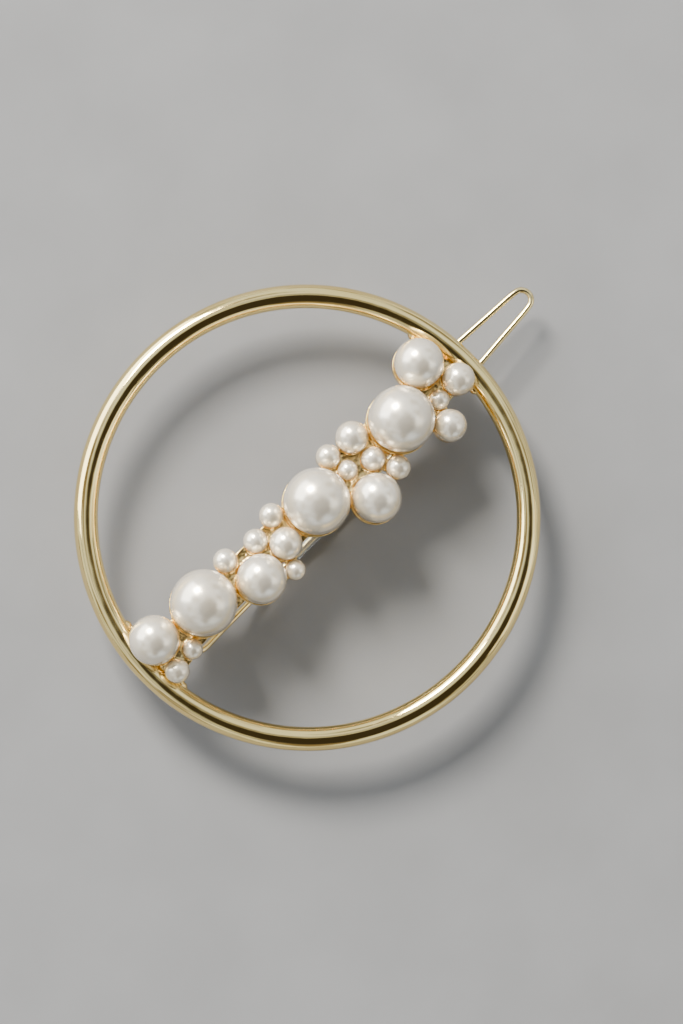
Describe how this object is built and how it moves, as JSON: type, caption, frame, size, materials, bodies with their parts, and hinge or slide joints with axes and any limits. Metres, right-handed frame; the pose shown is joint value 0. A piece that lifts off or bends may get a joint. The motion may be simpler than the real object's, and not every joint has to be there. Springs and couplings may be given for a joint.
{
  "type": "hair barrette",
  "caption": "Round polished hoop crossed by a cast bar of pearls, with a hinged spring wire clasp behind that closes on a catch post over a lock of hair.",
  "frame": {"origin": "under the middle of the part's box, on the surface that the clasp rests on", "axes": "+X along the bar and the clasp towards the wire's free tip, +Z out of the pearl face, +Y across the bar; the hoop lies level"},
  "size_m": [0.0668, 0.056, 0.0156],
  "materials": {
    "polished_gold": "pale gold plate over cast metal, polished bright",
    "cast_gold": "pale gold plate over a cast bar, satin and slightly pitted between the pearls",
    "clasp_gold": "pale gold plate over drawn wire and stamped strip, bright",
    "pearl": "imitation pearl: ivory nacre coat with a soft satin lustre",
    "clear_sleeve": "clear soft silicone tube, slightly cloudy"
  },
  "bodies": {
    "clasp": {"clasp_wire": "clasp_gold", "grip_sleeve_left": "clear_sleeve", "grip_sleeve_right": "clear_sleeve"},
    "ornament": {"hoop": "polished_gold", "pearl_bar": "cast_gold", "pearl_01": "pearl", "pearl_02": "pearl", "pearl_03": "pearl", "pearl_04": "pearl", "pearl_05": "pearl", "pearl_06": "pearl", "pearl_07": "pearl", "pearl_08": "pearl", "pearl_09": "pearl", "pearl_10": "pearl", "pearl_11": "pearl", "pearl_12": "pearl", "pearl_13": "pearl", "pearl_14": "pearl", "pearl_15": "pearl", "pearl_16": "pearl", "pearl_17": "pearl", "pearl_18": "pearl", "pearl_19": "pearl", "pearl_20": "pearl", "pearl_21": "pearl", "pearl_22": "pearl", "clasp_base": "clasp_gold", "catch_post": "clasp_gold"}
  },
  "joints": [
    {"name": "clasp_hinge", "type": "hinge", "parent": "clasp", "child": "ornament", "pos_m": [-0.02594, 0, 0.00538], "axis": [0, -1, 0], "range_deg": [0, 50]}
  ]
}
